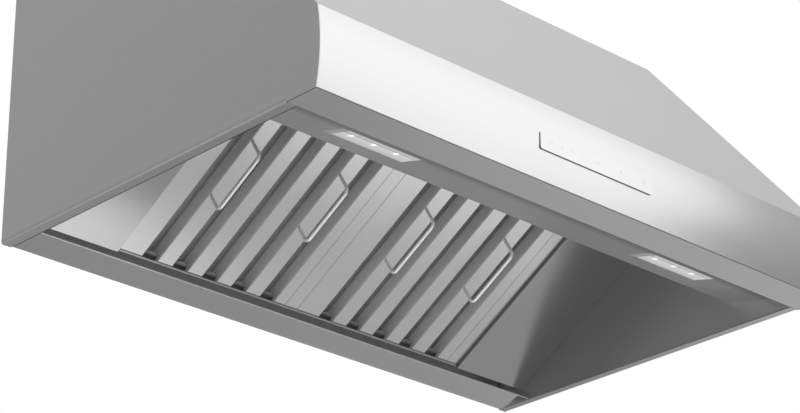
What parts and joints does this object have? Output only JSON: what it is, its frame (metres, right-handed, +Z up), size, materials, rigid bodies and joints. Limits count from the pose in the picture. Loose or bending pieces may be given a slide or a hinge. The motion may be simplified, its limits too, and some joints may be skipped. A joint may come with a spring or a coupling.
{
  "type": "wall mount range hood",
  "caption": "Wall mounted range hood with a sloped canopy, bowed fascia, lift-out baffle filters, strip lamps, touch control, blower and damped duct collar.",
  "frame": {"origin": "centre of the four wall screw holes, on the wall plane", "axes": "+X to the right seen from the front, +Y into the wall, +Z up"},
  "size_m": [0.9144, 0.6083, 0.4933],
  "materials": {
    "skin_steel": "satin brushed",
    "rear_steel": "satin",
    "liner_steel": "satin, nearly mirror",
    "filter_steel": "satin",
    "handle_chrome": "polished wire",
    "lamp_can": "satin",
    "lamp_lens": "frosted",
    "board": "gloss",
    "touch_plate": "satin",
    "box_plastic": "matte",
    "galvanised": "galvanised sheet",
    "flap_aluminium": "satin",
    "wheel_paint": "satin",
    "motor_paint": "satin",
    "capacitor_plastic": "matte",
    "screw_steel": "zinc plated"
  },
  "bodies": {
    "hood": {"left_side_panel": "skin_steel", "right_side_panel": "skin_steel", "fascia_panel": "skin_steel", "canopy_panel": "skin_steel", "top_panel": "rear_steel", "back_panel": "rear_steel", "rear_channel": "skin_steel", "splice_plate": "rear_steel", "left_inner_wall": "liner_steel", "right_inner_wall": "liner_steel", "filter_ledge": "liner_steel", "filter_channel": "liner_steel", "lamp_panel": "liner_steel", "left_filler_panel": "liner_steel", "right_filler_panel": "liner_steel", "left_lamp_housing": "lamp_can", "right_lamp_housing": "lamp_can", "left_lamp_lens": "lamp_lens", "right_lamp_lens": "lamp_lens", "left_lamp_board": "board", "right_lamp_board": "board", "control_plate": "touch_plate", "control_box": "box_plastic", "control_board": "board", "duct_collar": "galvanised", "damper_pin": "screw_steel", "blower_housing": "galvanised", "left_inlet_ring": "galvanised", "right_inlet_ring": "galvanised", "motor": "motor_paint", "motor_bracket": "galvanised", "capacitor": "capacitor_plastic", "collar_screws": "screw_steel", "junction_box": "galvanised", "junction_cover": "galvanised", "lamp_driver": "box_plastic", "lamp_driver_cover": "box_plastic"},
    "filter_left": {"left_filter_frame": "filter_steel", "left_filter_front_slats": "filter_steel", "left_filter_rear_slats": "filter_steel", "left_filter_handles": "handle_chrome"},
    "filter_right": {"right_filter_frame": "filter_steel", "right_filter_front_slats": "filter_steel", "right_filter_rear_slats": "filter_steel", "right_filter_handles": "handle_chrome"},
    "blower_rotor": {"blower_wheel": "wheel_paint", "motor_shaft": "screw_steel"},
    "damper_rear": {"damper_flap_rear": "flap_aluminium"},
    "damper_front": {"damper_flap_front": "flap_aluminium"}
  },
  "joints": [
    {"name": "filter_left_lift", "type": "slide", "parent": "hood", "child": "filter_left", "axis": [0, -0.8581, 0.5135], "range_m": [0, 0.008]},
    {"name": "filter_right_lift", "type": "slide", "parent": "hood", "child": "filter_right", "axis": [0, -0.8581, 0.5135], "range_m": [0, 0.008]},
    {"name": "blower_spin", "type": "hinge", "parent": "hood", "child": "blower_rotor", "pos_m": [0, -0.19, -0.02], "axis": [1, 0, 0], "continuous": true},
    {"name": "damper_rear_swing", "type": "hinge", "parent": "hood", "child": "damper_rear", "pos_m": [0, -0.1524, 0.1532], "axis": [1, 0, 0], "range_deg": [0, 75]},
    {"name": "damper_front_swing", "type": "hinge", "parent": "hood", "child": "damper_front", "pos_m": [0, -0.1524, 0.1532], "axis": [-1, 0, 0], "range_deg": [0, 75]}
  ]
}
